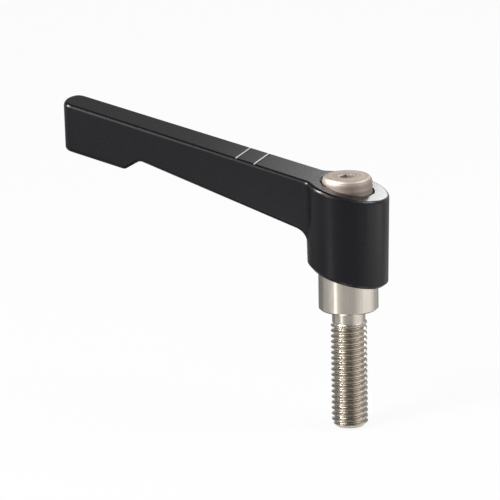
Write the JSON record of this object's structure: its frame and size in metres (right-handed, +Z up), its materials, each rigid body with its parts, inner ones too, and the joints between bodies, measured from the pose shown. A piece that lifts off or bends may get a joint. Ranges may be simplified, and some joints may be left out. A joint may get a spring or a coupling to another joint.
{
  "type": "adjustable clamping lever",
  "caption": "Hand lever with a threaded stud that clamps a joint; lifted against its spring, it turns free on a serration and is set to another angle.",
  "frame": {"origin": "centre of the collar's underside, the face that clamps", "axes": "+Z up the stud axis towards the screw head, +X from the hub towards the tip of the arm"},
  "size_m": [0.0741, 0.0184, 0.0693],
  "materials": {
    "powder_coat": "fine-textured black powder coat, satin",
    "stainless_turned": "turned stainless steel, satin",
    "stainless_head": "blasted stainless steel, fine grain",
    "spring_wire": "drawn stainless spring wire"
  },
  "bodies": {
    "stud": {"threaded_stud": "stainless_turned", "retaining_screw": "stainless_head"},
    "spring": {"compression_spring": "spring_wire"},
    "lever": {"lever": "powder_coat"}
  },
  "joints": [
    {"name": "lift", "type": "slide", "parent": "stud", "child": "spring", "axis": [0, 0, 1], "range_m": [0, 0.0038], "stiffness_N_per_m": 1400, "springref_m": -0.004, "deforming": ["compression_spring"]},
    {"name": "index_turn", "type": "hinge", "parent": "spring", "child": "lever", "pos_m": [0, 0, 0], "axis": [0, 0, 1], "continuous": true}
  ]
}
